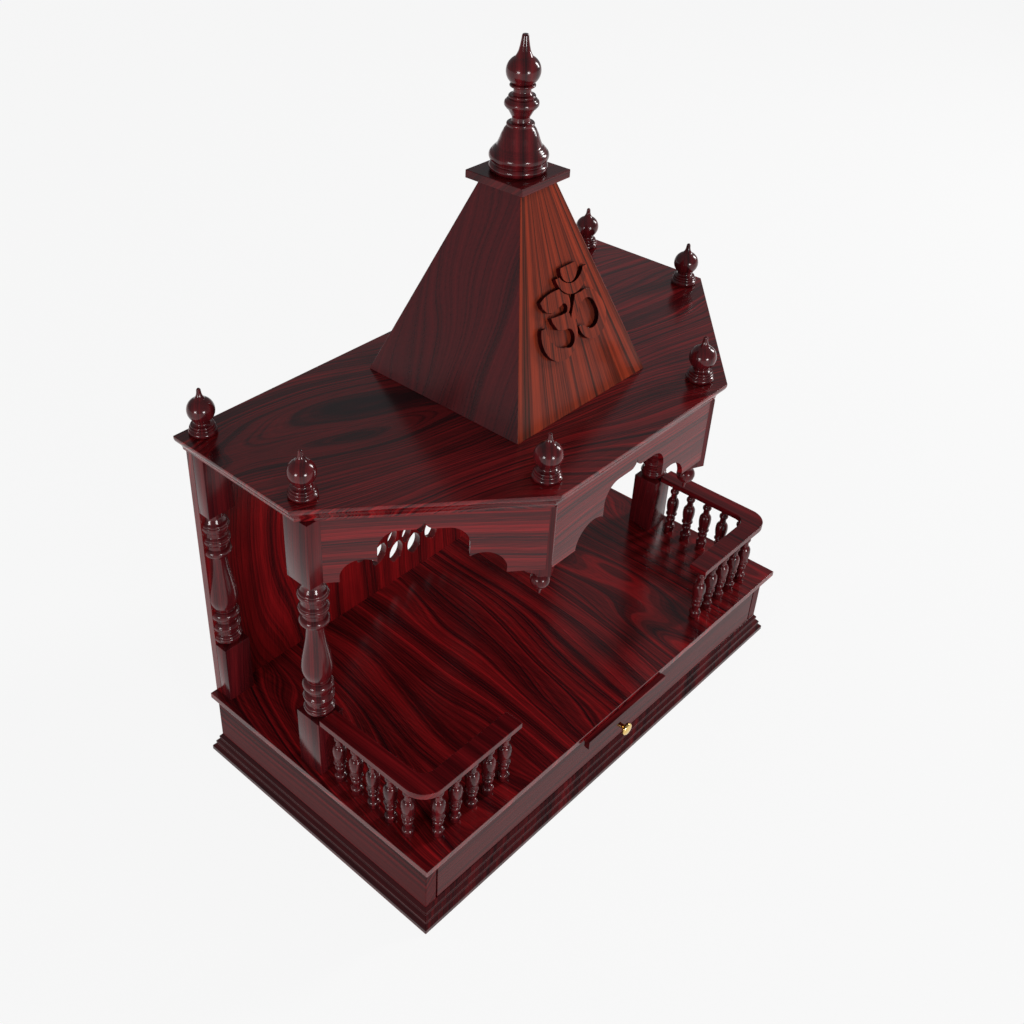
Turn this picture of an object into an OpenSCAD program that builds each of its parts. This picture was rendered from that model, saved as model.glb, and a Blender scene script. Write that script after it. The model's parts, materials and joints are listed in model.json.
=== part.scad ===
// Wooden home temple: a plinth with a drawer and a pull-out tray, a railed platform, four turned
// posts, a roof with cusped arches, and a pyramid spire. Millimetres, +Z up, +X along the front,
// +Y to the back. The origin is on the floor, under the middle of the whole piece.

/* [Base and plinth] */
// Overall width, over the base moulding
temple_w = 610; // [500:2:760]
// Depth over the base moulding
temple_d = 334.4; // [290:1:420]
// Height of the base moulding
base_h = 24.5; // [20:0.5:36]
// How far the base moulding stands out from the plinth
mould_out = 9.2; // [6:0.2:14]
// How far the base frame reaches in under the plinth
mould_in = 24; // [20:1:30]
// Height of the plinth above the base moulding
plinth_h = 62.4; // [56:0.2:90]
// Thickness of the plinth's sides
plinth_side_t = 14.3; // [10:0.1:18]
// Thickness of the plinth's back
plinth_back_t = 12; // [8:1:16]
// Thickness of the thin boards: drawer floor, plinth floor and dust panel
thin_t = 4; // [3:0.5:6]
// Thickness of the platform board
platform_t = 8; // [6:0.5:16]
// Platform's overhang at the front
platform_over_front = 9; // [4:0.5:14]
// Platform's overhang at each side
platform_over_side = 8.5; // [4:0.5:14]

/* [Drawer and tray] */
// Seam around the drawer's front
drawer_seam = 1.75; // [1:0.25:3]
// Gap between the drawer's box and the plinth's sides
drawer_side_gap = 5; // [3:0.5:12]
// Gap under a sliding piece, at rest on its seat
running_gap = 0.3; // [0.2:0.1:0.6]
// Thickness of the drawer's front
drawer_front_t = 14; // [10:1:18]
// Thickness of the drawer's other boards
drawer_board_t = 8; // [6:1:12]
// Height of the knob's middle above the floor
knob_z = 59; // [50:1:64]
// How far the knob stands out
knob_reach = 20; // [12:1:28]
// Radius of the knob's round plate
knob_r = 7.2; // [5:0.2:8]
// Width of the pull-out tray's lip
tray_lip_w = 136.4; // [100:1:180]
// Height of the tray's lip
tray_lip_h = 10.8; // [9:0.2:14]
// Thickness of the tray's lip
tray_lip_t = 6.3; // [4:0.1:10]
// Thickness of the tray's board
tray_t = 5; // [4:0.5:7]
// Depth of the tray's board
tray_d = 225; // [150:5:250]

/* [Posts and wall] */
// Height from the platform to the roof board
column_h = 316.2; // [280:0.2:420]
// Width of a post's square blocks
post_w = 31.8; // [26:0.2:38]
// Height of the square block at a post's foot
post_foot_h = 71.6; // [50:0.2:90]
// Height of the square block at a post's head
post_head_h = 72; // [64:0.2:90]
// Distance from the plinth's front to the front posts' front faces
post_setback = 146.2; // [130:1:180]
// Thickness of the back wall
wall_t = 8.8; // [6:0.2:14]
// Petals in each ring of the wall's pierced rosette
jali_count = 24; // [12:2:24]
// Radius of the rosette's outer ring, at the petals' middles
jali_r = 114.7; // [100:0.1:120]

/* [Railing] */
// Width of the handrail
rail_w = 21; // [16:1:26]
// Thickness of the handrail
rail_t = 7; // [5:0.5:10]
// Height of the handrail's top above the platform
rail_h = 78; // [60:1:100]
// Length of the handrail along the front, from its corner
rail_front_len = 136.7; // [80:1:180]
// Space between balusters, middle to middle
baluster_pitch = 23.6; // [18:0.2:36]

/* [Roof] */
// Thickness of the roof board
roof_t = 19; // [16:0.5:26]
// Roof board's overhang beyond the plinth, at each side
roof_over_side = 11.9; // [8:0.1:16]
// Distance from the plinth's front back to the roof board's front edge
roof_front_in = 5.6; // [2:0.2:12]
// Width of the roof board's front edge
roof_front_w = 258; // [240:1:300]
// How far the roof's side corners lie behind the front posts' faces
roof_corner_lag = 8.2; // [6:0.2:10]
// Thickness of the arched fascia boards
fascia_t = 6; // [4:0.5:10]
// Side of a pendant's square block
pendant_w = 23.5; // [18:0.5:26]

/* [Spire] */
// Half width of the spire's foot
spire_half = 97; // [80:1:110]
// Half width of the spire's top
spire_top_half = 23.7; // [18:0.1:30]
// Height of the spire's four panels
spire_h = 198.5; // [150:0.5:260]
// Thickness of the spire's panels
spire_t = 8; // [6:0.5:12]
// Distance from the back to the spire's axis
spire_back = 137; // [125:1:170]
// How far the raised Om stands out from the spire
om_t = 5; // [3:0.5:7]
// Height of the small turned finials
finial_h = 47; // [42:0.5:56]

/* [Hidden] */
$fn = 48;

// Colours of the polished veneer, the turned wood and the brass
veneer = "#7a1d1a";
turned = "#5d1213";
orange_veneer = "#8f3322";
brass = "#d9b45a";
inside_wood = "#9c6b48";

// Plinth and levels
plinth_w = temple_w - 2 * mould_out;
plinth_d = temple_d - 2 * mould_out;
front_y = -plinth_d / 2;
back_y = plinth_d / 2;
inner_w = plinth_w - 2 * plinth_side_t;
platform_z0 = base_h + plinth_h;
platform_z = platform_z0 + platform_t;
roof_z0 = platform_z + column_h;
roof_z = roof_z0 + roof_t;
spire_z = roof_z + spire_h;
cap_t = 7.7;
cap_over = 9.8;
cap_z = spire_z + cap_t;

// Base moulding: like steps, each sloping out and cut back under its nose
step_count = 3;
step_pitch = 7.6;
step_drop = 4;
step_undercut = 0.6;

// The boards behind the drawer's front start this far behind it
behind_front = 5;
inner_y0 = front_y + drawer_front_t + behind_front;
inner_y1 = back_y - plinth_back_t;

// Tray and drawer heights, from the platform down
tray_head_gap = 0.6;
tray_z1 = platform_z0 - tray_head_gap;
tray_z0 = tray_z1 - tray_t;
dust_z1 = tray_z0 - running_gap;
dust_t = 2.7;
dust_z0 = dust_z1 - dust_t;
drawer_z0 = base_h + thin_t + running_gap;
drawer_z1 = dust_z0 - behind_front;
front_seam = 1.2;
tray_w = tray_lip_w - 8.4;
lip_y1 = front_y - platform_over_front - 0.4;
lip_y0 = lip_y1 - tray_lip_t;
lip_z0 = tray_z0 - 2;
lip_gap = 1.5;

// Origin under the middle of the whole piece
front_reach = max(plinth_d / 2 + knob_reach, -lip_y0);
origin_y = (front_reach - temple_d / 2) / 2;

// Posts: middles, from the plinth's faces
post_x = plinth_w / 2 - post_w / 2;
post_face_y = front_y + post_setback;
post_y = post_face_y + post_w / 2;
wall_face_y = back_y - wall_t;

// Railing lines
rail_side_in = 1.1;
rail_front_in = 5.2;
rail_x = plinth_w / 2 - rail_side_in - rail_w / 2;
rail_y = front_y + rail_front_in + rail_w / 2;
rail_round = 24;
rail_inner_round = 14;
corner_gap = 20;
rail_end_gap = 10;

// Roof plan, counter-clockwise from the back left corner
roof_x = plinth_w / 2 + roof_over_side;
roof_corner_y = post_face_y + roof_corner_lag;
roof_front_y = front_y + roof_front_in;
roof_plan = [
    [-roof_x, back_y], [-roof_x, roof_corner_y], [-roof_front_w / 2, roof_front_y],
    [roof_front_w / 2, roof_front_y], [roof_x, roof_corner_y], [roof_x, back_y]
];

// Edge of the roof board: a lip, an S-shaped ogee and a short upright foot
ogee_w = 8.7;
ogee_foot = 1;
ogee_lip = 2;
ogee_steps = 10;

// Fascia lines, inside the roof's edge, and the pendant at the corner between them
fascia_front_in = 9.7;
fascia_side_in = 11.2;
pendant_proud = 2.3;
diag = roof_plan[2] - roof_plan[1];
diag_len = norm(diag);
diag_dir = diag / diag_len;
diag_in = [-diag_dir.y, diag_dir.x];
diag_ang = atan2(diag.y, diag.x);
fascia_y = roof_front_y + fascia_front_in;
fascia_from = roof_plan[1] + fascia_side_in * diag_in;
fascia_corner = fascia_from + diag_dir * (fascia_y - fascia_from.y) / diag_dir.y;
pendant_ang = (diag_ang - 180) / 2;
pendant_out = [cos(pendant_ang), sin(pendant_ang)];
pendant_at = fascia_corner + pendant_out * (pendant_proud - pendant_w / sqrt(2));
fascia_z0 = roof_z0 - post_head_h;
pendant_drop = 8.2;

// Cusped arches: half span, outer lobes, middle lobe and pointed tip
front_arch = [86, 61.4, 25, -2, 47, 20, 51.8, 61];
side_arch = [75.4, 54, 22, 2.5, 41.3, 20, 54.5, 64.5];

// Spire
spire_y = back_y - spire_back;
spire_lean = spire_half - spire_top_half;
spire_tilt = atan2(spire_lean, spire_h);

big = 2 * temple_w;

// ---- helpers ----

// The whole piece is drawn about the base's middle and then moved so that its own middle is at 0
module place() {
    translate([0, origin_y, 0]) children();
}

// A board given by its two opposite corners
module board(lo, hi) {
    translate(lo) cube(hi - lo);
}

// A section in (y, z), run along X over the length l, middle at x = 0
module run_x(l) {
    translate([-l / 2, 0, 0]) rotate([90, 0, 90]) linear_extrude(l) children();
}

// A section in (x, z), run along Y from y0 over the length l
module run_y(y0, l) {
    translate([0, y0 + l, 0]) rotate([90, 0, 0]) linear_extrude(l) children();
}

// The half of a turned outline right of the axis, turned round
module turn() {
    rotate_extrude() intersection() {
        children();
        translate([0, -1]) square([big, big]);
    }
}

// One round bead of a turned outline: largest radius r, thickness t, middle at height z
module bead(z, r, t) {
    translate([r - t / 2, z]) circle(d = t);
    translate([0, z - t / 2]) square([max(r - t / 2, 0.01), t]);
}

// Core of a turned outline: a polygon through [radius, height] pairs, closed on the axis
module core(pts) {
    polygon(concat([[0, pts[0].y]], pts, [[0, pts[len(pts) - 1].y]]));
}

// Radii of a vase from its foot to its neck: full low down, slim above
function vase(z0, h, r_foot, r_max, r_neck, n = 14) = [
    for (i = [0:n])
        let (t = i / n, belly = 0.24)
        [t < belly
            ? r_foot + (r_max - r_foot) * sin(90 * t / belly)
            : r_neck + (r_max - r_neck) * (1 + cos(180 * pow((t - belly) / (1 - belly), 0.86))) / 2,
         z0 + t * h]
];

// ---- base and plinth ----

// Outline of the base frame: [distance out from the plinth's face, height]
function mould_outline() = concat(
    [[-mould_in, base_h]],
    [for (k = [0:step_count - 1], nose = [0, 1])
        [mould_out * (k + nose) / step_count - (k > 0 && nose == 0 ? step_undercut : 0),
         base_h - k * step_pitch - nose * step_drop]],
    [[mould_out, 0], [-mould_in, 0]]
);

// One side of the base frame, mitred at both ends, its outside to -Y
module moulding_run(l, face) {
    reach = mould_out + mould_in;
    translate([0, -face, 0]) intersection() {
        run_x(l) polygon([for (p = mould_outline()) [-p.x, p.y]]);
        linear_extrude(base_h) polygon([
            [-l / 2, -mould_out], [l / 2, -mould_out],
            [l / 2 - reach, mould_in], [-l / 2 + reach, mould_in]
        ]);
    }
}

module base_moulding_front() {
    color(veneer) moulding_run(temple_w, plinth_d / 2);
}

module base_moulding_back() {
    color(veneer) rotate([0, 0, 180]) moulding_run(temple_w, plinth_d / 2);
}

module base_moulding_left() {
    color(veneer) rotate([0, 0, -90]) moulding_run(temple_d, plinth_w / 2);
}

module base_moulding_right() {
    color(veneer) rotate([0, 0, 90]) moulding_run(temple_d, plinth_w / 2);
}

module plinth_side_left() {
    color(veneer) board([-plinth_w / 2, front_y, base_h], [-inner_w / 2, back_y, platform_z0]);
}

module plinth_side_right() {
    mirror([1, 0, 0]) plinth_side_left();
}

module plinth_back() {
    color(veneer) board([-inner_w / 2, inner_y1, base_h], [inner_w / 2, back_y, platform_z0]);
}

module plinth_bottom() {
    color(inside_wood)
        board([-inner_w / 2, inner_y0, base_h], [inner_w / 2, inner_y1, base_h + thin_t]);
}

module dust_panel() {
    color(inside_wood) board([-inner_w / 2, inner_y0, dust_z0], [inner_w / 2, inner_y1, dust_z1]);
}

// Strip beside the tray, between the dust panel and the platform
module tray_guide_right() {
    color(inside_wood) board(
        [tray_w / 2 + 0.5, inner_y0, dust_z1],
        [tray_w / 2 + 8, inner_y0 + tray_d, platform_z0]
    );
}

module tray_guide_left() {
    mirror([1, 0, 0]) tray_guide_right();
}

// Its lower edges are eased at the front and the sides
module platform_board() {
    ease = 1.5;
    half_w = plinth_w / 2 + platform_over_side;
    y0 = front_y - platform_over_front;
    color(veneer) translate([0, 0, platform_z0]) intersection() {
        run_x(2 * half_w) polygon([
            [y0 + ease, 0], [back_y, 0], [back_y, platform_t], [y0, platform_t], [y0, ease]
        ]);
        run_y(y0, back_y - y0) polygon([
            [-half_w + ease, 0], [half_w - ease, 0], [half_w, ease],
            [half_w, platform_t], [-half_w, platform_t], [-half_w, ease]
        ]);
    }
}

// ---- drawer and tray ----

// Front board, with a notch that lets the tray's lip pass
module drawer_front() {
    half_w = inner_w / 2 - drawer_seam;
    notch_half = tray_lip_w / 2 + lip_gap;
    color(veneer) difference() {
        board([-half_w, front_y, base_h + front_seam],
              [half_w, front_y + drawer_front_t, platform_z0 - front_seam]);
        board([-notch_half, front_y - 1, lip_z0 - behind_front],
              [notch_half, front_y + drawer_front_t + 1, platform_z0]);
    }
}

drawer_half = inner_w / 2 - drawer_side_gap;
drawer_y0 = front_y + drawer_front_t;
drawer_y1 = inner_y1 - 10;

module drawer_side_left() {
    color(inside_wood) board([-drawer_half, drawer_y0, drawer_z0 + thin_t],
                             [-drawer_half + drawer_board_t, drawer_y1, drawer_z1]);
}

module drawer_side_right() {
    mirror([1, 0, 0]) drawer_side_left();
}

module drawer_back() {
    color(inside_wood) board(
        [-drawer_half + drawer_board_t, drawer_y1 - drawer_board_t, drawer_z0 + thin_t],
        [drawer_half - drawer_board_t, drawer_y1, drawer_z1]
    );
}

module drawer_bottom() {
    color(inside_wood)
        board([-drawer_half, drawer_y0, drawer_z0], [drawer_half, drawer_y1, drawer_z0 + thin_t]);
}

// Backplate, stem and round plate, turned about the pull direction
module drawer_knob() {
    plate_t = 4;
    dome_r = (knob_r * knob_r + 4) / 4;
    color(brass) translate([0, front_y, knob_z]) rotate([90, 0, 0]) turn() {
        square([8, 2]);
        square([3, knob_reach - 3]);
        translate([0, knob_reach - 2 - plate_t]) square([knob_r, plate_t]);
        intersection() {
            translate([0, knob_reach - dome_r]) circle(dome_r, $fn = 96);
            translate([0, knob_reach - 2]) square([knob_r, 2]);
        }
    }
}

// A thin board with a lip that laps over the platform's edge; the lip's foot is eased behind
module pull_out_tray() {
    color(veneer) {
        board([-tray_w / 2, lip_y1, tray_z0], [tray_w / 2, lip_y1 + tray_d, tray_z1]);
        run_x(tray_lip_w) polygon([
            [lip_y0, lip_z0], [lip_y1 - 2, lip_z0], [lip_y1, lip_z0 + 1.6],
            [lip_y1, lip_z0 + tray_lip_h], [lip_y0, lip_z0 + tray_lip_h]
        ]);
    }
}

// ---- wall and posts ----

// Pointed oval of length l and width w, its long way along Y
module petal(l, w) {
    r = (l * l + w * w) / (4 * w);
    intersection() {
        translate([r - w / 2, 0]) circle(r);
        translate([w / 2 - r, 0]) circle(r);
    }
}

// Rings of petals, each turned half a step from the one outside it: [radius, length, width]
jali_rings = [[jali_r, 30, 21], [jali_r - 19.7, 25, 14.5], [jali_r - 37.7, 21, 12], [jali_r - 52, 17, 9]];

module jali() {
    for (k = [0:len(jali_rings) - 1], i = [0:jali_count - 1])
        rotate((i + k / 2) * 360 / jali_count)
            translate([0, -jali_rings[k][0]])
                petal(jali_rings[k][1], jali_rings[k][2]);
}

module back_wall() {
    color(veneer) difference() {
        board([-plinth_w / 2, wall_face_y, platform_z], [plinth_w / 2, back_y, roof_z0]);
        translate([0, 0, (platform_z + roof_z0) / 2 - 4]) run_y(wall_face_y - 1, wall_t + 2) jali();
    }
}

// Turned stretch of a post: three beads at each end and a tall vase between them
module post_turning() {
    z0 = platform_z + post_foot_h;
    z1 = roof_z0 - post_head_h;
    r = post_w / 2 - 0.2;
    vase_z0 = z0 + 43;
    vase_z1 = z1 - 60;
    core(concat(
        [[9.5, z0], [9.5, z0 + 3], [13, z0 + 6]],
        vase(vase_z0, vase_z1 - vase_z0, 11, r, 8.8),
        [[11.5, z1 - 55], [12.6, z1 - 15], [10, z1 - 10], [10, z1]]
    ));
    bead(z0 + 7.5, r, 12);
    bead(z0 + 22.5, r, 13.5);
    bead(z0 + 37.5, r, 12);
    bead(z1 - 52, r - 0.8, 11);
    bead(z1 - 37, r - 0.8, 13.5);
    bead(z1 - 20.5, r - 0.6, 14);
}

// A post about its own axis
module post() {
    translate([-post_w / 2, -post_w / 2, platform_z]) cube([post_w, post_w, post_foot_h]);
    turn() post_turning();
    translate([-post_w / 2, -post_w / 2, roof_z0 - post_head_h])
        cube([post_w, post_w, post_head_h]);
}

module post_front_left() {
    color(turned) translate([-post_x, post_y, 0]) post();
}

module post_front_right() {
    color(turned) translate([post_x, post_y, 0]) post();
}

// A back post is the front half of such a post, on the wall's face
module post_back_left() {
    color(turned) translate([-post_x, wall_face_y, 0]) intersection() {
        post();
        board([-post_w, -post_w, 0], [post_w, 0, roof_z]);
    }
}

module post_back_right() {
    mirror([1, 0, 0]) post_back_left();
}

// ---- railing ----

// Flat rail from the post to the corner and along the front; its outer corner is rounded
module handrail_left() {
    x0 = -rail_x - rail_w / 2;
    y0 = rail_y - rail_w / 2;
    color(veneer) translate([0, 0, platform_z + rail_h - rail_t]) linear_extrude(rail_t)
        difference() {
            union() {
                translate([x0, y0]) square([rail_w, post_face_y - y0]);
                translate([x0, y0]) square([rail_front_len, rail_w]);
                difference() {
                    translate([x0 + rail_w - 1, y0 + rail_w - 1]) square(rail_inner_round + 1);
                    translate([x0 + rail_w + rail_inner_round, y0 + rail_w + rail_inner_round])
                        circle(rail_inner_round);
                }
            }
            difference() {
                translate([x0 - 1, y0 - 1]) square(rail_round + 1);
                translate([x0 + rail_round, y0 + rail_round]) circle(rail_round);
            }
        }
}

module handrail_right() {
    mirror([1, 0, 0]) handrail_left();
}

// Baluster outline: foot, small bead, ring, vase and ball, up to the rail
module baluster() {
    h = rail_h - rail_t;
    translate([0, 0, platform_z]) turn() {
        core([
            [5.6, 0], [5.6, 2], [4, 9], [4, 14], [4.4, 21], [5, 25],
            [6, 29], [6.9, 33], [7.4, 38], [7.4, 42], [6.9, 45.5], [5.6, 48], [4, 49.6],
            [3.7, h - 17], [3.7, h - 6], [4.4, h]
        ]);
        bead(5.6, 6.6, 9.6);
        bead(17.6, 5.8, 8);
        bead(25.4, 6.9, 3.6);
        bead(h - 12, 5.4, 9.4);
    }
}

// How many balusters stand on a leg of the rail, this far from the corner's middle to its end
function leg_count(l) = floor((l - corner_gap - rail_end_gap) / baluster_pitch) + 1;

module balusters_left() {
    side_len = post_face_y - rail_y;
    front_len = rail_front_len - rail_w / 2;
    color(turned) {
        for (i = [0:leg_count(side_len) - 1])
            translate([-rail_x, rail_y + corner_gap + i * baluster_pitch, 0]) baluster();
        for (i = [0:leg_count(front_len) - 1])
            translate([-rail_x + corner_gap + i * baluster_pitch, rail_y, 0]) baluster();
    }
}

module balusters_right() {
    mirror([1, 0, 0]) balusters_left();
}

// ---- roof ----

// Outline of a moulded edge: [distance in from the edge, height], down from the lip
function ogee_outline() = concat(
    [[big, roof_t], [0, roof_t]],
    [for (i = [0:ogee_steps])
        let (t = i / ogee_steps)
        [ogee_w * (1 - cos(180 * t)) / 2, ogee_foot + (roof_t - ogee_foot - ogee_lip) * (1 - t)]],
    [[ogee_w, 0], [big, 0]]
);

// Everything on the inner side of the plan line a to b, with the given section along it
module edge_block(a, b) {
    translate([a.x, a.y, roof_z0]) rotate([0, 0, atan2(b.y - a.y, b.x - a.x)])
        run_x(2 * big) children();
}

// The moulded edge along the roof plan's side number i
module roof_edge(i) {
    edge_block(roof_plan[i], roof_plan[i + 1]) polygon(ogee_outline());
}

module roof_board() {
    color(veneer) intersection() {
        roof_edge(0);
        roof_edge(1);
        roof_edge(2);
        roof_edge(3);
        roof_edge(4);
        board([-big / 2, -big / 2, roof_z0], [big / 2, back_y, roof_z]);
    }
}

// Opening of a cusped arch, its middle at x = 0 and its springing at y = 0
module arch_opening(a) {
    half = a[0];
    lobe_x = a[1];
    lobe_r = a[2];
    lobe_y = a[3];
    mid_half = a[4];
    mid_r = a[5];
    mid_top = a[6];
    tip_top = a[7];
    tip_half = 8;
    translate([-half, -1]) square([2 * half, 1 + max(lobe_y, 0.01)]);
    for (s = [-1, 1]) {
        intersection() {
            translate([s * lobe_x, lobe_y]) circle(lobe_r, $fn = 72);
            translate([s > 0 ? 0 : -half, -1]) square([half, mid_top]);
        }
        translate([s * (mid_half - mid_r), mid_top - mid_r]) circle(mid_r, $fn = 72);
    }
    translate([-mid_half, -1]) square([2 * mid_half, mid_top - mid_r + 1]);
    translate([-mid_half + mid_r, -1]) square([2 * (mid_half - mid_r), mid_top + 1]);
    ogee_tip(tip_half, mid_top, tip_top);
}

// Small pointed tip with hollow sides, from y0 up to y1
module ogee_tip(half, y0, y1) {
    h = y1 - y0;
    r = (half * half + h * h) / (2 * half);
    difference() {
        translate([-half, y0 - 1]) square([2 * half, h + 1]);
        for (s = [-1, 1]) translate([s * r, y1]) circle(r, $fn = 96);
    }
}

// Arched board whose outer face runs from a to b; the arch is in the middle of mid_len from a0
module arched_board(a, b, a0, mid_len, arch) {
    ang = atan2(b.y - a.y, b.x - a.x);
    lead = norm(a - a0);
    color(veneer) translate([a.x, a.y, fascia_z0]) rotate([0, 0, ang])
        translate([0, fascia_t, 0]) rotate([90, 0, 0]) linear_extrude(fascia_t)
            difference() {
                square([norm(b - a), post_head_h]);
                translate([mid_len / 2 - lead, 0]) arch_opening(arch);
            }
}

// Square block of the left pendant; the extra is added at both ends where it is used as a cutter
module pendant_block(extra = 0) {
    translate([pendant_at.x, pendant_at.y, fascia_z0 - pendant_drop - extra])
        rotate([0, 0, pendant_ang + 45])
            translate([-pendant_w / 2, -pendant_w / 2, 0])
                cube([pendant_w, pendant_w, post_head_h + pendant_drop + 2 * extra]);
}

module fascia_front() {
    end = [-fascia_corner.x, fascia_corner.y];
    difference() {
        arched_board(fascia_corner, end, fascia_corner, norm(end - fascia_corner), front_arch);
        pendant_block(1);
        mirror([1, 0, 0]) pendant_block(1);
    }
}

// The diagonal board starts inside the post's outline, where the post's block then cuts it
module fascia_left() {
    start_s = (post_face_y + 3 - fascia_from.y) / diag_dir.y;
    start = fascia_from + diag_dir * start_s;
    difference() {
        arched_board(start, fascia_corner, fascia_from, diag_len, side_arch);
        pendant_block(1);
        translate([-post_x - post_w / 2, post_face_y, fascia_z0 - 1])
            cube([post_w, post_w, post_head_h + 2]);
    }
}

module fascia_right() {
    mirror([1, 0, 0]) fascia_left();
}

// Block with a turned drop: neck, ball and pin
module pendant_left() {
    z = fascia_z0 - pendant_drop;
    color(veneer) {
        pendant_block();
        translate([pendant_at.x, pendant_at.y, 0]) turn() {
            core([[1.2, z - 31], [2.4, z - 24], [6, z - 22], [6, z - 4], [7.5, z - 2], [7.5, z]]);
            translate([0, z - 14.5]) circle(9.4);
        }
    }
}

module pendant_right() {
    mirror([1, 0, 0]) pendant_left();
}

// Small turned finial: ringed foot, round bulb and a thin tip
module small_finial() {
    tip_z = finial_h;
    translate([0, 0, roof_z]) turn() {
        core([
            [11.6, 0], [11.6, 7], [8.6, 9.2], [7.6, 11], [7.8, 13], [9, 14.6], [9, 33.4],
            [6.6, 35.2], [4.7, 37], [3.3, 39.2], [2.5, 41.6], [2, tip_z - 1], [1.2, tip_z]
        ]);
        bead(3, 13.7, 4.6);
        bead(7, 12, 3.2);
        translate([0.6, 24.6]) circle(12.6);
    }
}

// Places of the small finials, right of the middle: front, side corner and back
finial_places = [
    [roof_front_w / 2 - 11, roof_front_y + 25.5],
    [roof_x - 23.5, roof_corner_y + 8],
    [roof_x - 23.5, back_y - 15]
];

module finial_pair(i) {
    for (s = [-1, 1])
        translate([s * finial_places[i].x, finial_places[i].y, 0]) small_finial();
}

module roof_finials_front() {
    color(turned) finial_pair(0);
}

module roof_finials_middle() {
    color(turned) finial_pair(1);
}

module roof_finials_back() {
    color(turned) finial_pair(2);
}

// ---- spire ----

// One leaning panel, mitred at both sides, its outside to -Y
module spire_panel() {
    level_t = spire_t / cos(spire_tilt);
    translate([0, spire_y, roof_z]) intersection() {
        run_x(2 * spire_half + 2) polygon([
            [-spire_half, 0], [-spire_half + level_t, 0],
            [-spire_top_half + level_t, spire_h], [-spire_top_half, spire_h]
        ]);
        linear_extrude(spire_h) polygon([
            [0, 0], [-spire_half - 1, -spire_half - 1], [spire_half + 1, -spire_half - 1]
        ]);
    }
}

module spun(angle) {
    translate([0, spire_y, 0]) rotate([0, 0, angle]) translate([0, -spire_y, 0]) children();
}

module spire_front() {
    color(orange_veneer) spire_panel();
}

module spire_back() {
    color(veneer) spun(180) spire_panel();
}

module spire_left() {
    color(veneer) spun(-90) spire_panel();
}

module spire_right() {
    color(veneer) spun(90) spire_panel();
}

// Part of a ring between two circles, kept inside a box
module crescent(outer_at, outer_r, inner_at, inner_r, lo, hi) {
    intersection() {
        difference() {
            translate(outer_at) circle(outer_r, $fn = 72);
            translate(inner_at) circle(inner_r, $fn = 72);
        }
        translate(lo) square(hi - lo);
    }
}

// The Om: two bowls, a waist, an arm with its hook, a crescent and a dot; y runs up the panel
module om_outline() {
    // upper bowl with its rounded start
    difference() {
        union() {
            translate([-6, 105]) circle(14.8, $fn = 60);
            polygon([
                [-6, 119.8], [-15, 120], [-25.4, 118.7], [-32.8, 115.6],
                [-31.2, 109.4], [-26, 103.3], [-18.8, 101.2], [-4, 100]
            ]);
        }
        translate([-1.5, 99.8]) circle(5, $fn = 40);
        polygon([[-1, 104.6], [-24, 100.2], [-24, 90], [-16, 94.9], [-1, 95]]);
        translate([19, 133.5]) circle(26, $fn = 72);
    }
    // waist
    polygon([
        [-22.4, 96.7], [-21.1, 91.5], [-16.5, 83.1], [-10.1, 80.3], [-2, 82], [8, 82],
        [5.2, 88], [4.6, 93], [-2.7, 94.7], [-15.5, 95.8]
    ]);
    // lower bowl and its tail, open at the left
    difference() {
        intersection() {
            translate([-15, 79]) circle(26.8, $fn = 72);
            union() {
                translate([-50, 40]) square([70, 47]);
                translate([-50, 80]) square([22, 10.5]);
            }
        }
        translate([-4, 70.5]) circle(9.4, $fn = 50);
        polygon([
            [-3, 61.5], [-14.9, 64], [-23, 68], [-29, 75], [-32.5, 84], [-33, 98],
            [-22.4, 98], [-21.1, 91.5], [-16.5, 83.1], [-10.1, 80.3], [-3, 79.5]
        ]);
    }
    // arm and hook
    difference() {
        union() {
            translate([36, 79.5]) circle(22.3, $fn = 72);
            translate([33, 87]) circle(21, $fn = 72);
            polygon([[36, 79.5], [55.1, 91], [51, 97.8], [33, 87]]);
            polygon([[3, 83.6], [8, 80], [20, 84], [34, 90], [31, 107.2], [18, 107.6]]);
        }
        translate([34, 81]) circle(12.8, $fn = 50);
        translate([32.5, 87]) circle(12.3, $fn = 50);
        polygon([[34, 81], [46.1, 85.1], [44.2, 90.9], [32.5, 87]]);
        polygon([[0, 77.6], [18.3, 76.1], [27, 72], [27, 96], [21.5, 97], [14, 86], [7, 81], [0, 79]]);
    }
    // crescent and dot
    crescent([19, 133.5], 24.5, [19, 141], 21.5, [-10, 100], [50, 129.8]);
    intersection() {
        translate([16, 133.2]) circle(12.2, $fn = 50);
        translate([0, 115]) square([40, 22.6]);
    }
}

module om_symbol() {
    color(orange_veneer) translate([0, spire_y - spire_half, roof_z])
        rotate([90 - spire_tilt, 0, 0]) linear_extrude(om_t)
            translate([-3.5, 2.3]) scale([0.94, 0.955]) om_outline();
}

module spire_cap() {
    half = spire_top_half + cap_over;
    color(turned) translate([0, spire_y, spire_z]) translate([-half, -half, 0])
        cube([2 * half, 2 * half, cap_t]);
}

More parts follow.
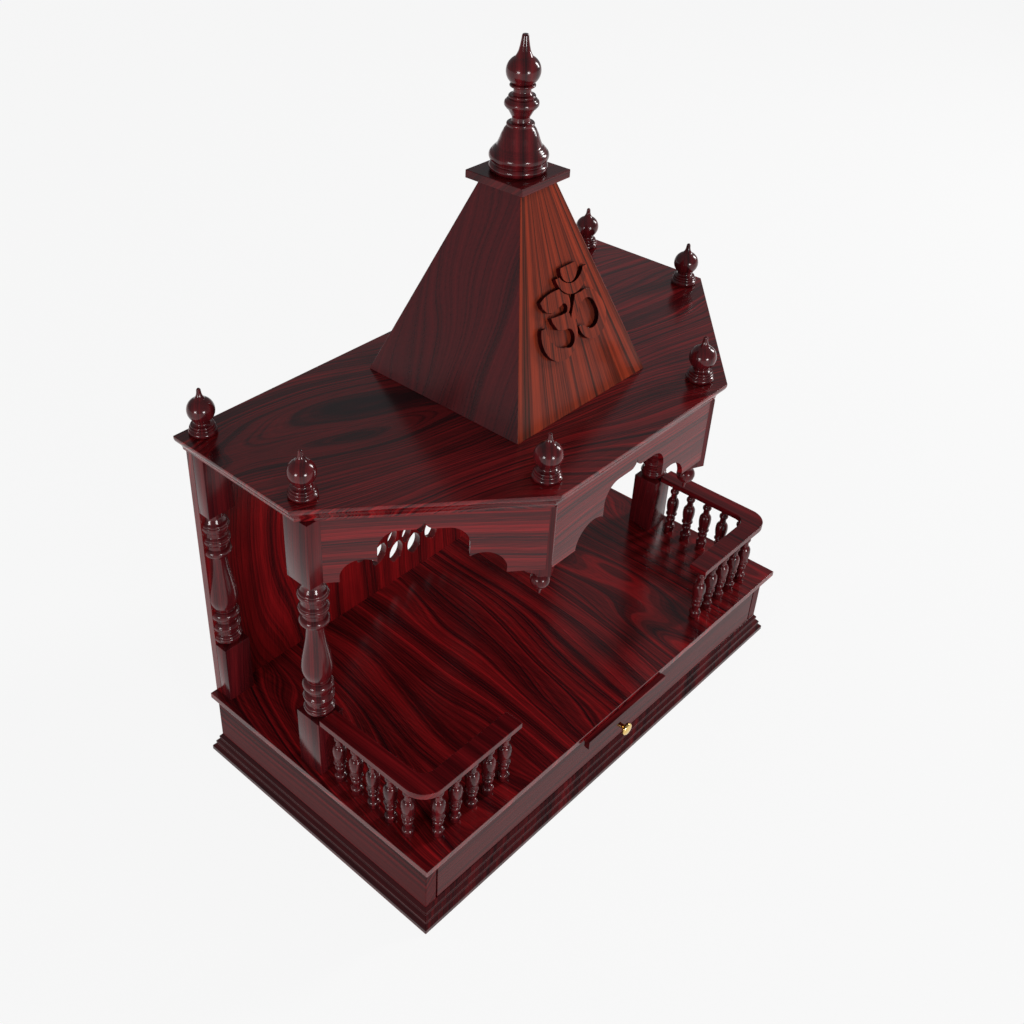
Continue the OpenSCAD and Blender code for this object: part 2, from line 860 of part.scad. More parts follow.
// Tall finial: two broad beads, a bell, a bead and a bulb with a thin tip
module spire_finial() {
    color(turned) translate([0, spire_y, cap_z]) turn() {
        core([
            [24, 0], [24, 20], [20.5, 23], [18.4, 28], [16.6, 33], [14.4, 37.6], [12.2, 40.5],
            [8.4, 44.5], [8, 48], [10.6, 52.6], [12, 55], [12, 64], [9.5, 67.5], [7.8, 70],
            [7.8, 74.6], [9, 77], [9, 89], [13.4, 95], [10.8, 99], [7.8, 103.6], [6, 108.6],
            [4.8, 113.4], [3.5, 117.6], [2.6, 118.4]
        ]);
        bead(4, 26.6, 8);
        bead(14, 27, 12);
        bead(42, 12.7, 3.6);
        bead(60, 15.5, 9.6);
        bead(66.3, 12.2, 3);
        bead(75.6, 11.6, 2.6);
        translate([2.3, 88]) circle(13);
    }
}

place() base_moulding_front();
place() base_moulding_back();
place() base_moulding_left();
place() base_moulding_right();
place() plinth_side_left();
place() plinth_side_right();
place() plinth_back();
place() plinth_bottom();
place() dust_panel();
place() tray_guide_left();
place() tray_guide_right();
place() platform_board();
place() drawer_front();
place() drawer_side_left();
place() drawer_side_right();
place() drawer_back();
place() drawer_bottom();
place() drawer_knob();
place() pull_out_tray();
place() back_wall();
place() post_front_left();
place() post_front_right();
place() post_back_left();
place() post_back_right();
place() handrail_left();
place() handrail_right();
place() balusters_left();
place() balusters_right();
place() roof_board();
place() fascia_front();
place() fascia_left();
place() fascia_right();
place() pendant_left();
place() pendant_right();
place() roof_finials_front();
place() roof_finials_middle();
place() roof_finials_back();
place() spire_front();
place() spire_back();
place() spire_left();
place() spire_right();
place() om_symbol();
place() spire_cap();
place() spire_finial();
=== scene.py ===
# %% [markdown]
# # A wooden home temple
# A small shrine for a shelf or a table: a plinth with a drawer and a pull-out tray, a railed
# platform, turned posts, a canopy with cusped arches and a pyramid spire. Its boards are covered
# with a dark red rosewood veneer under clear lacquer, and its posts, balusters and finials are
# turned from solid wood. The imported model gives every place and size. This lesson eases the
# arrises of the boards, turns the round pieces again with finer beads, and adds the finish. First
# the model is loaded.

# %% Load the imported model
import json
import math

import bmesh
import bpy
import numpy as np
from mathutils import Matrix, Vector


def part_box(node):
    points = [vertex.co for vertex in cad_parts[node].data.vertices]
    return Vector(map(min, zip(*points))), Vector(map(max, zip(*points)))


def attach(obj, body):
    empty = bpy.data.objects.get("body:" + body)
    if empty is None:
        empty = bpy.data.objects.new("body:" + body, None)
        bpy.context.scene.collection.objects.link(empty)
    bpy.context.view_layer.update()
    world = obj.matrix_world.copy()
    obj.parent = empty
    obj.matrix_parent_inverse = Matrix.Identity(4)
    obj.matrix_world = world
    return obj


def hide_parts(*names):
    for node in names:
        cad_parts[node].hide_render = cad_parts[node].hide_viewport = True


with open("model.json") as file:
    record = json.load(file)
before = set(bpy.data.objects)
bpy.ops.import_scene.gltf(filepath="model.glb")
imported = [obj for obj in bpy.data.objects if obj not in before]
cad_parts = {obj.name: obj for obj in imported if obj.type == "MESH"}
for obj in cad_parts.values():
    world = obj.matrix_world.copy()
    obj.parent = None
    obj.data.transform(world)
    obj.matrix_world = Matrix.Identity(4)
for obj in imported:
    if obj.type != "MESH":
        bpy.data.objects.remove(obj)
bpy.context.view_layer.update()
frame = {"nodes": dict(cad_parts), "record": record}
NODES = frame["nodes"]
BODY_OF = {n: b for b, names in frame["record"]["behaviour"]["bodies"].items() for n in names}
MM = 0.001

# %% [markdown]
# ## The view
# The camera stands high at the front left corner and looks down across the platform. A small
# lens shift slides the frame sideways and down without turning the camera.

# %% Camera
camera_data = bpy.data.cameras.new("camera")
camera_data.sensor_width = 36
camera_data.lens = 41.98
camera_data.shift_x = 0.104
camera_data.shift_y = -0.035
camera = bpy.data.objects.new("camera", camera_data)
camera.location = (-0.8035, -0.6292, 1.0363)
camera.rotation_euler = (math.radians(54.4), 0, math.radians(-45.2))
bpy.context.scene.collection.objects.link(camera)
bpy.context.scene.camera = camera
bpy.context.scene.view_settings.view_transform = "Standard"
print("camera", round(camera.location.length, 2), "m from the middle of the foot")

# %% [markdown]
# ## Three small helpers
# Colours are written as the hex values a paint chart gives, and turned to linear light by one
# function. One helper adds a shader node, sets its sockets by name and links its inputs, so that
# a material reads as a short list. The last one starts an empty material.


# %% Colour and node helpers
def linear(hex_colour):
    """sRGB hex to linear RGBA: c / 12.92 below 0.04045, else ((c + 0.055) / 1.055) ** 2.4."""
    c = np.array([int(hex_colour[i:i + 2], 16) for i in (1, 3, 5)]) / 255
    return (*np.where(c < 0.04045, c / 12.92, ((c + 0.055) / 1.055) ** 2.4), 1.0)


def add(tree, kind, settings=None, **inputs):
    """A node of that kind; settings are its properties; an input is a value or a socket to link.

    Inputs go by name, with _ for a space, or by place as i0, i1 where names repeat."""
    node = tree.nodes.new("ShaderNode" + kind)
    for key, value in (settings or {}).items():
        setattr(node, key, value)
    for key, value in inputs.items():
        by_place = key[0] == "i" and key[1:].isdigit()
        socket = node.inputs[int(key[1:]) if by_place else key.replace("_", " ")]
        if isinstance(value, bpy.types.NodeSocket):
            tree.links.new(value, socket)
        else:
            socket.default_value = value
    return node


def new_material(name):
    """A node material with nothing but its output node."""
    material = bpy.data.materials.new(name)
    material.use_nodes = True
    material.node_tree.nodes.clear()
    return material, material.node_tree, material.node_tree.nodes.new("ShaderNodeOutputMaterial")


# %% [markdown]
# ## Floor, room and lamps
# The floor is nearly white paper, lit from below as on a light table, so that the shadows on it
# stay faint. The room is dim, and three softboxes stand round it: one far left and one in front,
# both near the height of the platform, and a tall one at the right. They are what the beads
# mirror as short highlights.

# %% Floor, sky and lamps
floor_mesh = bpy.data.meshes.new("floor")
floor_mesh.from_pydata([(-8, -8, 0), (8, -8, 0), (8, 8, 0), (-8, 8, 0)], [], [(0, 1, 2, 3)])
floor = bpy.data.objects.new("floor", floor_mesh)
bpy.context.scene.collection.objects.link(floor)
floor_paper, tree, out = new_material("matt_white_paper")
matt = add(tree, "BsdfDiffuse", Color=(0.05, 0.05, 0.05, 1))
glow = add(tree, "Emission", Color=linear("#ffffff"), Strength=0.9)
both = add(tree, "AddShader", i0=matt.outputs[0], i1=glow.outputs[0])
tree.links.new(both.outputs[0], out.inputs["Surface"])
floor_mesh.materials.append(floor_paper)

world = bpy.data.worlds.new("dim_room")
world.use_nodes = True
world.node_tree.nodes["Background"].inputs["Color"].default_value = linear("#eef0f4")
world.node_tree.nodes["Background"].inputs["Strength"].default_value = 0.32
bpy.context.scene.world = world


def softbox(name, place, size, watts, aim=(0, 0, 0.35)):
    """A rectangular lamp at a place, turned so that its front looks at the aim point."""
    data = bpy.data.lights.new(name, "AREA")
    data.shape = "RECTANGLE"
    data.size, data.size_y = size
    data.energy = watts
    lamp = bpy.data.objects.new(name, data)
    lamp.location = place
    way = Vector(aim) - Vector(place)
    lamp.rotation_euler = way.to_track_quat("-Z", "Y").to_euler()
    bpy.context.scene.collection.objects.link(lamp)


softbox("lamp_left", (-3.0, -0.4, 0.75), (0.7, 0.5), 30)
softbox("lamp_front", (-0.9, -3.0, 0.75), (0.7, 0.5), 45)
softbox("lamp_right", (2.7, -0.9, 1.6), (0.5, 1.2), 60)
print("one floor, one sky and three lamps")

# %% [markdown]
# ## Rosewood veneer
# Rosewood is a dense brown-red timber with near-black growth lines. Cut as veneer, its lines run
# wavy along the board and close into long loops where the knife ran along a growth ring. The
# material does the same: a coordinate across the board is pushed to and fro by slow noise, and
# its contours are the growth lines. Noise read along that one number colours them: broad bands
# 8 to 30 mm wide, mixed with lines of a few millimetres. A finer noise, drawn out along the
# grain, adds the pores, about 1 mm wide and 33 mm long, coarser than real ones so that they show.
# The thin clear lacquer gives a smooth surface of IOR 1.5.

# %% Veneer material
ALONG = {"X": (0, 0, 0), "Y": (0, 0, -90), "Z": (0, 90, 0)}
PORES_PER_M = (30, 900, 900)
LINES_PER_BAND = 4.5
PORE_SHARE = 0.22
FAN_WIDTH = 0.09  # the half width of the fanned sheet, spread to this many metres of figure


def rosewood(name, along="X", turn=(0, 0, 0), seed=0.0, dark="#20060a", mid="#3f080c",
             red="#5c0c10", bright="#7c1216", gloss=0.2, sheen=0.34, push=0.2, band=0.02,
             slow=(2.4, 7, 7), lines=0.5, fan=None):
    """Lacquered veneer. along is the grain's axis, turn tilts it (degrees), seed picks the cut.
    band is the width of the broad bands and push how far the waves carry them, in metres; lines
    is the share of the narrow lines. With fan = (half width at z = 0, its fall per metre of
    height) the place across is x / half width, so that the lines spread from the top."""
    material, tree, out = new_material(name)
    place = add(tree, "TexCoord").outputs["Object"]
    if fan:
        at = add(tree, "SeparateXYZ", Vector=place)
        half = add(tree, "Math", {"operation": "MULTIPLY_ADD"}, i0=at.outputs[2], i1=-fan[1],
                   i2=fan[0])
        share = add(tree, "Math", {"operation": "DIVIDE"}, i0=at.outputs[0], i1=half.outputs[0])
        spread = add(tree, "Math", {"operation": "MULTIPLY"}, i0=share.outputs[0],
                     i1=FAN_WIDTH)
        place = add(tree, "CombineXYZ", X=spread.outputs[0], Y=0.0, Z=at.outputs[2]).outputs[0]
    angles = [math.radians(a + b) for a, b in zip(ALONG[along], turn)]
    board = add(tree, "Mapping", Vector=place, Rotation=angles,
                Location=(seed, seed * 0.37, seed * 0.61)).outputs[0]
    slow_place = add(tree, "Mapping", Vector=board, Scale=slow).outputs[0]
    wave = add(tree, "TexNoise", Vector=slow_place, Scale=1.0, Detail=1.6, Roughness=0.42)
    split = add(tree, "SeparateXYZ", Vector=board)
    across = add(tree, "Math", {"operation": "ADD"}, i0=split.outputs[1], i1=split.outputs[2])
    ring = add(tree, "Math", {"operation": "MULTIPLY_ADD"}, i0=wave.outputs[0], i1=push,
               i2=across.outputs[0]).outputs[0]
    flat = {"noise_dimensions": "1D"}
    bands = add(tree, "TexNoise", flat, W=ring, Scale=1 / band, Detail=2.0, Roughness=0.5)
    narrow = add(tree, "TexNoise", flat, W=ring, Scale=LINES_PER_BAND / band, Detail=3.0,
                 Roughness=0.7)
    pore_place = add(tree, "Mapping", Vector=board, Scale=PORES_PER_M).outputs[0]
    pores = add(tree, "TexNoise", Vector=pore_place, Scale=1.0, Detail=2.0, Roughness=0.6)
    figure = add(tree, "Mix", {"data_type": "FLOAT"}, Factor=lines, i2=bands.outputs[0],
                 i3=narrow.outputs[0]).outputs[0]
    figure = add(tree, "Mix", {"data_type": "FLOAT"}, Factor=PORE_SHARE, i2=figure,
                 i3=pores.outputs[0]).outputs[0]
    ramp = add(tree, "ValToRGB", Fac=figure)
    stops = ramp.color_ramp.elements
    stops[0].position, stops[0].color = 0.36, linear(dark)
    stops[1].position, stops[1].color = 0.45, linear(mid)
    for position, colour in ((0.54, red), (0.67, bright)):
        stops.new(position).color = linear(colour)
    skin = add(tree, "BsdfPrincipled", Base_Color=ramp.outputs[0], Roughness=gloss, IOR=1.5)
    skin.inputs["Specular IOR Level"].default_value = sheen
    tree.links.new(skin.outputs[0], out.inputs["Surface"])
    return material


# %% [markdown]
# ## The finishes of this temple
# One log gives every board, but each is cut and laid its own way. The platform's lines run from
# front to back, the canopy's from side to side and a little askew, the arch boards' along their
# length, and those of posts and wall upright. The drawer and plinth are calmer cuts. The front of
# the spire is a lighter, more orange sheet whose lines fan out from its top. The turned pieces
# are darker, with a higher polish, and the knob is polished brass.

# %% Finishes
SPIRE_TOP_HALF = 23.7 * MM
ROOF_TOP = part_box("roof_board")[1].z
SPIRE_LOW, SPIRE_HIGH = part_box("spire_front")
SPIRE_FOOT_HALF = SPIRE_HIGH.x
SPIRE_FALL = (SPIRE_FOOT_HALF - SPIRE_TOP_HALF) / (SPIRE_HIGH.z - SPIRE_LOW.z)
CALM = dict(dark="#25080a", mid="#380a0d", red="#4a0d10", bright="#641316")
FINISH = {
    "platform": rosewood("rosewood_platform", "Y", seed=3.1, push=0.25, lines=0.6,
                         slow=(2, 6, 6), red="#661013", bright="#98161a"),
    "roof": rosewood("rosewood_canopy", "X", turn=(0, 0, 17), seed=1.7, push=0.2, lines=0.6,
                     red="#641114", bright="#8c171a"),
    "front_board": rosewood("rosewood_arch_front", "X", seed=5.2, push=0.08, band=0.016,
                            sheen=0.25),
    "left_board": rosewood("rosewood_arch_left", "X", turn=(0, 0, 39.8), seed=6.4, push=0.08,
                           band=0.016),
    "right_board": rosewood("rosewood_arch_right", "X", turn=(0, 0, -39.8), seed=7.3, push=0.08,
                            band=0.016),
    "upright": rosewood("rosewood_upright", "Z", seed=2.2, push=0.05, band=0.01, sheen=0.24,
                        dark="#2a090d", mid="#3c0b0f", red="#4c0e12", bright="#5e1216"),
    "wall": rosewood("rosewood_wall", "Z", seed=4.4, push=0.22, slow=(2.2, 5, 5),
                     dark="#2c0709", mid="#4c090c", red="#680c0f", bright="#8a1215"),
    "plinth_side": rosewood("rosewood_plinth_side", "Y", seed=8.1, push=0.06, sheen=0.03, **CALM),
    "drawer": rosewood("rosewood_drawer", "X", seed=9.3, push=0.05, sheen=0.07, **CALM),
    "moulding": rosewood("rosewood_moulding", "Y", seed=2.9, push=0.02, band=0.03, sheen=0.2,
                         dark="#1a0608", mid="#2b080b", red="#3c0a0d", bright="#540d11"),
    "rail": rosewood("rosewood_rail", "Y", seed=6.8, push=0.03, band=0.018, sheen=0.25,
                     dark="#2c070a", mid="#420a0e", red="#560d11", bright="#741317"),
    "spire_side": rosewood("rosewood_spire", "Z", turn=(-24, 0, 0), seed=5.7, push=0.1,
                           sheen=0.5, band=0.02, dark="#2a090c", mid="#3c0b0f", red="#4a0e12",
                           bright="#5c1215"),
    "spire_front": rosewood("rosewood_spire_front", "Z", seed=1.2, push=0.025, band=0.014,
                            slow=(3, 12, 12), fan=(SPIRE_FOOT_HALF + SPIRE_FALL * ROOF_TOP,
                                                   SPIRE_FALL),
                            sheen=0.2, dark="#2e1a12", mid="#562117", red="#762b1a",
                            bright="#90341f"),
    "cap": rosewood("rosewood_cap", "X", seed=3.9, push=0.03, sheen=0.2, **CALM),
    "turned": rosewood("turned_rosewood", "Z", seed=7.7, push=0.02, band=0.008, gloss=0.17,
                       sheen=0.36, lines=0.3, dark="#2a0a0d", mid="#3c0c10", red="#4c0f13",
                       bright="#5c1317"),
    # Near-black veneer on the Om's side walls: painted shade.
    "om_wall_painted_shade": rosewood("om_wall_painted_shade", "Z", seed=0.8, push=0.02, sheen=0.05, gloss=0.4,
                         dark="#0c0203", mid="#1d0304", red="#2c0506", bright="#3c0608"),
    "inside": rosewood("plain_inside_boards", "X", seed=4.9, push=0.03, gloss=0.5, sheen=0.3,
                       dark="#7a5236", mid="#96683f", red="#a87a4f", bright="#b98c5f"),
}
# The platform's eased arrises get a paler base colour: a painted highlight for their line of light.
arris, tree, out = new_material("painted_highlight_arris")
skin = add(tree, "BsdfPrincipled", Base_Color=linear("#6e4444"), Roughness=0.25, IOR=1.5)
tree.links.new(skin.outputs[0], out.inputs["Surface"])
FINISH["arris"] = arris
brass, tree, out = new_material("polished_brass")
skin = add(tree, "BsdfPrincipled", Base_Color=linear("#e6c27a"), Metallic=1.0, Roughness=0.16)
tree.links.new(skin.outputs[0], out.inputs["Surface"])
FINISH["brass"] = brass
print(len(FINISH), "finishes")

# %% [markdown]
# ## Boards with eased arrises
# No joiner leaves an edge razor sharp: a stroke of sandpaper takes off half a millimetre, and the
# lacquer draws a thin line of light along it. Each flat piece is a merged copy of its node with a
# small bevel on every edge sharper than 30 degrees, and it takes the node's place on its body.


# %% Eased boards
def stand_for(obj, node):
    """The piece takes its node's place and rides its body."""
    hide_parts(node)
    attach(obj, BODY_OF[node])


def eased(node, finish, ease=0.6 * MM, paint_arris_highlight=False):
    """A node's merged copy with edges eased by a two-step bevel, painted paler as a highlight if
    asked.
    """
    mesh = NODES[node].data.copy()
    mesh.materials.clear()
    work = bmesh.new()
    work.from_mesh(mesh)
    bmesh.ops.remove_doubles(work, verts=work.verts, dist=2e-6)
    bmesh.ops.dissolve_limit(work, angle_limit=math.radians(1), verts=work.verts, edges=work.edges)
    work.to_mesh(mesh)
    work.free()
    mesh.name = node + "_eased"
    mesh.materials.append(FINISH[finish])
    obj = bpy.data.objects.new(node + "_eased", mesh)
    bpy.context.scene.collection.objects.link(obj)
    mesh.shade_smooth()
    mesh.set_sharp_from_angle(angle=math.radians(30))
    bevel = obj.modifiers.new("ease", "BEVEL")
    bevel.width = ease
    bevel.segments = 2
    bevel.limit_method = "ANGLE"
    bevel.angle_limit = math.radians(30)
    bevel.harden_normals = True
    # Bevel faces in the paler colour: a painted highlight along the arris.
    if paint_arris_highlight:
        mesh.materials.append(FINISH["arris"])
        bevel.material = 1
    stand_for(obj, node)
    return obj


BOARDS = {
    "platform": ["platform_board"],
    "roof": ["roof_board"],
    "front_board": ["fascia_front"],
    "left_board": ["fascia_left"],
    "right_board": ["fascia_right"],
    "wall": ["back_wall"],
    "plinth_side": ["plinth_side_left", "plinth_side_right"],
    "moulding": ["base_moulding_front", "base_moulding_back", "base_moulding_left",
                 "base_moulding_right"],
    "rail": ["handrail_left", "handrail_right"],
    "drawer": ["drawer_front", "plinth_back", "pull_out_tray"],
    "spire_side": ["spire_left", "spire_right", "spire_back"],
    "cap": ["spire_cap"],
    "upright": ["pendant_left", "pendant_right"],
}
for finish, nodes in BOARDS.items():
    for node in nodes:
        eased(node, finish, paint_arris_highlight=finish == "platform")
INSIDE = ("plinth_bottom", "dust_panel", "tray_guide_left", "tray_guide_right",
          "drawer_side_left", "drawer_side_right", "drawer_back", "drawer_bottom")
for node in INSIDE:
    eased(node, "inside", 0.3 * MM)
print("eased boards:", sum(len(v) for v in BOARDS.values()) + len(INSIDE))

# %% [markdown]
# ## The spire's front and its Om
# The front sheet's lines fan out from the top: their place across is the share of the sheet's half
# width at that height, which the finish works out by itself. The Om is cut from the same sheet and
# glued on, so its face carries the same lines; its sawn edges get a near-black veneer, painted
# shade.

# %% Spire front and Om
eased("spire_front", "spire_front")
om = eased("om_symbol", "spire_front", 0.15 * MM)
om.data.materials.append(FINISH["om_wall_painted_shade"])
face_way = max(om.data.polygons, key=lambda p: p.area).normal
# The side walls take the second material, the painted shade.
for polygon in om.data.polygons:
    polygon.material_index = 0 if abs(polygon.normal.dot(face_way)) > 0.9 else 1
print("the Om has", len(om.data.polygons), "faces")

# %% [markdown]
# ## Turned pieces
# On a lathe the profile is everything: beads, coves and a vase are cut one after another along
# the blank, and the point of the skew leaves a fine groove beside each bead. The profile is the
# largest of a core line and the beads standing on it, less the grooves, taken on a fine scale
# along the axis and then read at even steps along its own length, so that small beads get as many
# rings as they need. Turned round the axis, it closes to a point at both ends.


# %% Lathe
def profile(core, beads=(), balls=(), grooves=(), step=0.6):
    """Points (radius, height) in mm. The radius is the largest of the core line, a bead
    (R - t/2 + sqrt((t/2)^2 - (z - zc)^2)) and a ball (sqrt(R^2 - (z - zc)^2) + offset), less
    depth * exp(-((z - zg) / width)^2) for a groove; read at even steps of arc length."""
    core = np.array(core, float)
    z = np.arange(core[0, 1], core[-1, 1] + 1e-9, 0.04)
    r = np.interp(z, core[:, 1], core[:, 0])
    for at, radius, thick in beads:
        rise = (thick / 2) ** 2 - (z - at) ** 2
        r = np.maximum(r, np.where(rise > 0, radius - thick / 2 + np.sqrt(np.abs(rise)), 0))
    for at, radius, offset in balls:
        rise = radius ** 2 - (z - at) ** 2
        r = np.maximum(r, np.where(rise > 0, offset + np.sqrt(np.abs(rise)), 0))
    for at, depth, width in grooves:
        r = r - depth * np.exp(-((z - at) / width) ** 2)
    length = np.concatenate([[0], np.cumsum(np.hypot(np.diff(r), np.diff(z)))])
    even = np.linspace(0, length[-1], int(length[-1] / step) + 2)
    return np.column_stack([np.interp(even, length, r), np.interp(even, length, z)])


def lathe(points, sides, centre=(0, 0)):
    """Vertices (m) and faces of a profile turned round an upright axis, with a pole at each end:
    x = cx + r cos(a), y = cy + r sin(a), z as in the profile."""
    rings = len(points)
    angle = np.linspace(0, 2 * np.pi, sides, endpoint=False)
    x = centre[0] + points[:, :1] * np.cos(angle)
    y = centre[1] + points[:, :1] * np.sin(angle)
    z = np.repeat(points[:, 1:], sides, axis=1)
    ends = [[centre[0], centre[1], points[0, 1]], [centre[0], centre[1], points[-1, 1]]]
    verts = np.vstack([np.stack([x, y, z], -1).reshape(-1, 3), ends]) * MM
    i, j = np.meshgrid(np.arange(rings - 1), np.arange(sides), indexing="ij")
    k = (j + 1) % sides
    quads = np.stack([i * sides + j, i * sides + k, (i + 1) * sides + k, (i + 1) * sides + j], -1)
    faces = quads.reshape(-1, 4).tolist()
    low, high, last = rings * sides, rings * sides + 1, (rings - 1) * sides
    faces += [(low, (s + 1) % sides, s) for s in range(sides)]
    faces += [(high, last + s, last + (s + 1) % sides) for s in range(sides)]
    return verts, faces


def piece(name, parts, node, finish, smooth=40):
    """One object made of several closed surfaces, in a node's place."""
    verts, faces, start = [], [], 0
    for part_verts, part_faces in parts:
        verts.append(part_verts)
        faces += [[v + start for v in face] for face in part_faces]
        start += len(part_verts)
    mesh = bpy.data.meshes.new(name)
    mesh.from_pydata(np.vstack(verts).tolist(), [], faces)
    mesh.materials.append(FINISH[finish])
    mesh.shade_smooth()
    mesh.set_sharp_from_angle(angle=math.radians(smooth))
    obj = bpy.data.objects.new(name, mesh)
    bpy.context.scene.collection.objects.link(obj)
    stand_for(obj, node)
    return obj


def block(low, high, ease=0.7):
    """Vertices (m) and faces of a square block with chamfered edges; corners in mm."""
    work = bmesh.new()
    bmesh.ops.create_cube(work, size=1.0)
    low, high = np.array(low, float), np.array(high, float)
    for vert in work.verts:
        vert.co = (low + high) / 2 + np.array(vert.co) * (high - low)
    bmesh.ops.bevel(work, geom=work.edges[:], offset=ease, segments=2, profile=0.5,
                    affect="EDGES")
    verts = np.array([v.co for v in work.verts]) * MM
    faces = [[v.index for v in f.verts] for f in work.faces]
    work.free()
    return verts, faces


# %% [markdown]
# ### Posts
# Each post is one square blank with its middle turned: three beads at either end and a tall vase
# between them. The back posts stand in front of the wall as half rounds, and the wall board hides
# what the lathe would have left behind it.

# %% Posts
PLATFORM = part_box("platform_board")[1].z / MM
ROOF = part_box("roof_board")[0].z / MM
POST_W = 31.8
FOOT_H, HEAD_H = 71.6, 72


def vase(z0, z1, foot, belly, neck, steps=40):
    """(radius, height) up a vase: a quarter sine from the foot to the belly at 24 percent of the
    height, then half a cosine, drawn out a little, from the belly to the neck."""
    t = np.linspace(0, 1, steps)
    low = foot + (belly - foot) * np.sin(np.pi / 2 * t / 0.24)
    rest = np.clip((t - 0.24) / 0.76, 0, 1) ** 0.86
    high = neck + (belly - neck) * (1 + np.cos(np.pi * rest)) / 2
    return np.column_stack([np.where(t < 0.24, low, high), z0 + t * (z1 - z0)])


def post_profile():
    """The turned stretch of a post between its two blocks."""
    z0, z1, r = PLATFORM + FOOT_H, ROOF - HEAD_H, POST_W / 2 - 0.2
    core = np.vstack([[[9.5, z0], [9.5, z0 + 3], [12.6, z0 + 6], [11.5, z0 + 42]],
                      vase(z0 + 43, z1 - 60, 11, r, 8.8),
                      [[11.5, z1 - 55], [12.2, z1 - 15], [10, z1 - 10], [10, z1]]])
    beads = [(z0 + 7.5, r, 12), (z0 + 22.5, r, 13.5), (z0 + 37.5, r, 12),
             (z1 - 52, r - 0.8, 11), (z1 - 37, r - 0.8, 13.5), (z1 - 20.5, r - 0.6, 14)]
    grooves = [(z0 + 7.5 + d, 0.7, 0.5) for d in (-2.2, 2.2)]
    grooves += [(z0 + 22.5 + d, 0.7, 0.5) for d in (-2.4, 2.4)]
    grooves += [(z1 - 37 + d, 0.7, 0.5) for d in (-2.4, 2.4)]
    grooves += [(z1 - 20.5 + d, 0.7, 0.5) for d in (-2.6, 2.6)]
    return profile(core, beads, grooves=grooves, step=0.7)


turned_part = post_profile()
for side in ("left", "right"):
    for depth in ("front", "back"):
        node = f"post_{depth}_{side}"
        low, high = [np.array(v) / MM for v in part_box(node)]
        half = POST_W / 2
        cx = low[0] + half if side == "left" else high[0] - half
        cy = low[1] + half
        turned = lathe(turned_part, 48, (cx, cy))
        if depth == "back":
            turned[0][:, 1] = np.minimum(turned[0][:, 1], high[1] * MM)
        foot = block(low, (high[0], high[1], PLATFORM + FOOT_H))
        head = block((low[0], low[1], ROOF - HEAD_H), high)
        obj = piece(node + "_turned", [turned, foot, head], node, "turned")
        obj.data.materials.append(FINISH["upright"])
        for polygon in obj.data.polygons[len(turned[1]):]:
            polygon.material_index = 1
print("posts:", len(turned_part), "rings each")

# %% [markdown]
# ### Balusters
# Ten small balusters carry each rail. From the foot up there is a ball, a smaller ball, a ring, a
# barrel with two fine lines at its foot, and a last ball just under the rail.

# %% Balusters
RAIL_H, RAIL_T, RAIL_W = 78, 7, 21
PITCH, FROM_CORNER, END_ROOM = 23.6, 20, 30


def baluster_profile():
    """One baluster, from the platform to the underside of the rail."""
    z, h = PLATFORM, RAIL_H - RAIL_T
    core = [[5.6, 0], [5.6, 2], [4, 9], [4, 14], [4.4, 21], [5, 25], [6, 29], [6.9, 33],
            [7.4, 38], [7.4, 42], [6.9, 45.5], [5.6, 48], [4, 49.6], [3.7, h - 17],
            [3.7, h - 6], [4.4, h]]
    core = [[r, z + up] for r, up in core]
    beads = [(z + 5.6, 6.6, 9.6), (z + 17.6, 5.8, 8), (z + 25.4, 6.9, 3.6), (z + h - 12, 5.4, 9.4)]
    grooves = [(z + 5.2, 0.4, 0.4), (z + 17.6, 0.3, 0.4), (z + 30.2, 0.5, 0.4),
               (z + 33.4, 0.45, 0.4)]
    return profile(core, beads, grooves=grooves, step=0.75)


small_turning = baluster_profile()
for side in (-1, 1):
    word = "left" if side < 0 else "right"
    node = "balusters_" + word
    low, high = [np.array(v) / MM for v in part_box(node)]
    rail_low, rail_high = [np.array(v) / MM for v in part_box("handrail_" + word)]
    corner_x = side * (max(abs(rail_low[0]), abs(rail_high[0])) - RAIL_W / 2)
    corner_y = rail_low[1] + RAIL_W / 2
    count_side = int((rail_high[1] - corner_y - END_ROOM) // PITCH) + 1
    count_front = int((rail_high[0] - rail_low[0] - RAIL_W / 2 - END_ROOM) // PITCH) + 1
    spots = [(corner_x, corner_y + FROM_CORNER + PITCH * i) for i in range(count_side)]
    spots += [(corner_x - side * (FROM_CORNER + PITCH * i), corner_y) for i in range(count_front)]
    parts = [lathe(small_turning, 20, spot) for spot in spots]
    piece(node + "_turned", parts, node, "turned")
print("balusters:", len(spots), "a side,", len(small_turning), "rings each")

# %% [markdown]
# ### Finials
# The six small finials of the canopy are onions on a beaded foot, drawn out to a point. The
# tall one on the cap has two broad beads, a bell, a ringed bead and a bulb with a thin tip.

# %% Finials
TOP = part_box("roof_board")[1].z / MM


def small_finial_profile():
    """A small finial from the canopy's top to its tip."""
    core = [[12, 0], [11.6, 7], [10.2, 10.2], [8.2, 11.4], [7.6, 12.4], [7.8, 13.4], [9, 14.8],
            [9, 33.4], [6.6, 35.2], [4.7, 37], [3.3, 39.2], [2.5, 41.6], [2, 46], [1.2, 47]]
    core = [[r, TOP + up] for r, up in core]
    beads = [(TOP + 2.7, 13.7, 5.4), (TOP + 6.6, 12.6, 2.6), (TOP + 9.2, 11.4, 2.4)]
    return profile(core, beads, balls=[(TOP + 24.6, 12.6, 0.6)], step=0.6)


onion = small_finial_profile()
for row in ("front", "middle", "back"):
    node = "roof_finials_" + row
    low, high = [np.array(v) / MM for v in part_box(node)]
    reach = (high[1] - low[1]) / 2
    spots = [(low[0] + reach, low[1] + reach), (high[0] - reach, low[1] + reach)]
    piece(node + "_turned", [lathe(onion, 40, spot) for spot in spots], node, "turned")

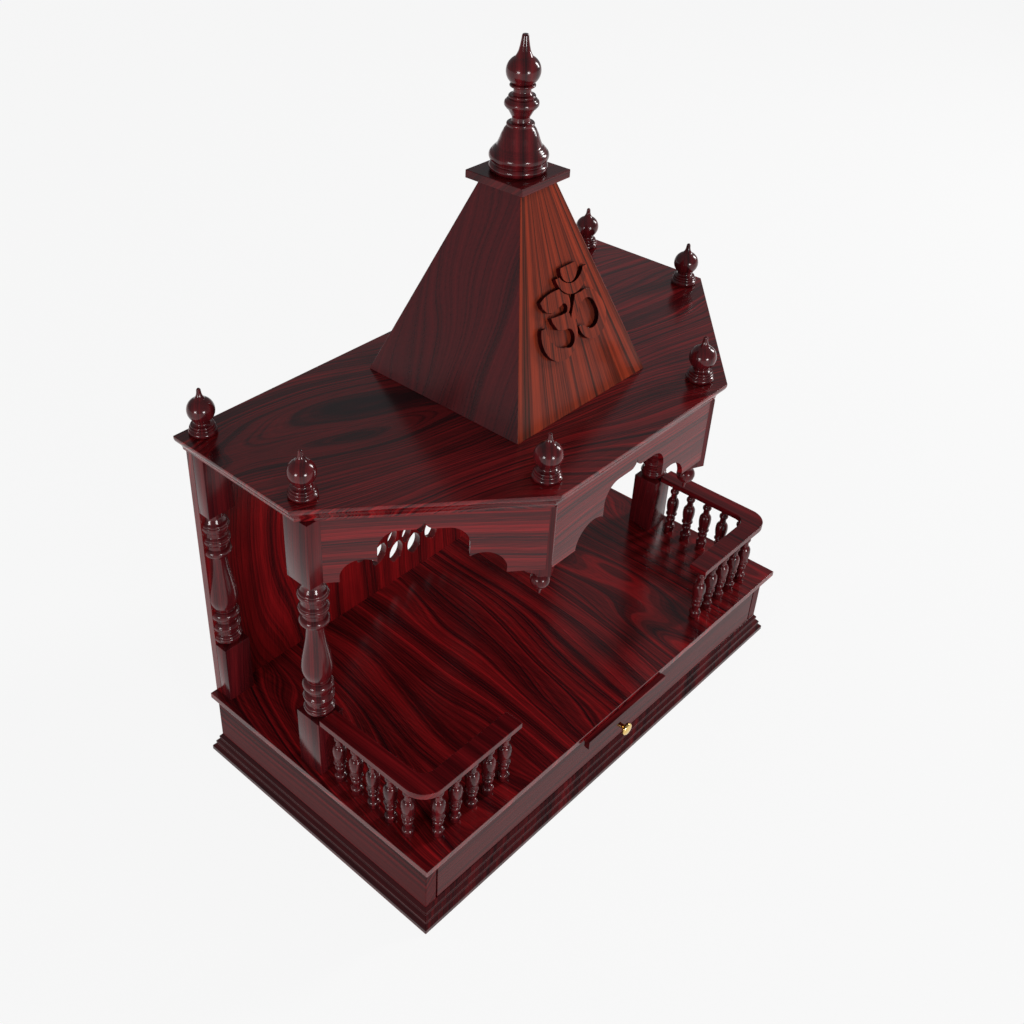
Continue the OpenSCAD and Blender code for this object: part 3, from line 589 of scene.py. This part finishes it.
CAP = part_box("spire_cap")[1].z / MM
low, high = [np.array(v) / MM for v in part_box("spire_finial")]
core = [[24, 0], [24, 20], [20.5, 23], [18.4, 28], [16.6, 33], [14.4, 37.6], [12.2, 40.5],
        [8.4, 44.5], [8, 48], [10.6, 52.6], [12, 55], [12, 64], [9.5, 67.5], [7.8, 70],
        [7.8, 74.6], [9, 77], [9, 98], [6.8, 101.4], [5.4, 104.4], [4.4, 108.6], [3.6, 113],
        [3, 117.4], [2.4, 118.4]]
beads = [(4, 26.6, 8), (14, 27, 12), (42, 12.7, 3.6), (60, 15.5, 9.6), (66.3, 12.2, 3),
         (75.6, 11.6, 2.6)]
tall = profile([[r, CAP + up] for r, up in core], [(CAP + a, r, t) for a, r, t in beads],
               [(CAP + 88, 13, 2.3)], [(CAP + up, 0.5, 0.5) for up in (10.4, 20.4, 57, 63.2)])
middle = ((low[0] + high[0]) / 2, (low[1] + high[1]) / 2)
piece("spire_finial_turned", [lathe(tall, 72, middle)], "spire_finial", "turned")
print("finials:", len(onion), "and", len(tall), "rings")

# %% [markdown]
# ### Knob
# The drawer's knob is a brass casting: a rosette with a beaded rim that screws to the drawer, a
# short stem and a domed disc. The rim's radius swells and shrinks sixteen times round.

# %% Knob
low, high = [np.array(v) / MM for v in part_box("drawer_knob")]
reach = high[1] - low[1]
knob = profile([[8, 0], [8, 2], [3, 2.4], [2.6, reach - 8], [3.4, reach - 6.2],
                [6, reach - 5.4], [7.2, reach - 4.6], [7.4, reach - 3.4], [7.2, reach - 2],
                [6.4, reach - 1.1], [4, reach - 0.35], [1.5, reach - 0.05], [0.3, reach]], step=0.3)
verts, faces = lathe(knob, 96)
x, y, z = (verts / MM).T
turn = np.arctan2(y, x)
rim = np.where((np.hypot(x, y) > 5.5) & (z < 2.1), 0.93 + 0.07 * np.abs(np.cos(8 * turn)), 1)
at_x, at_z = (low[0] + high[0]) / 2, (low[2] + high[2]) / 2
verts = np.column_stack([at_x + x * rim, high[1] - z, at_z + y * rim]) * MM
piece("drawer_knob_cast", [(verts, faces)], "drawer_knob", "brass", 50)
print("knob reaches", round(reach, 1), "mm")
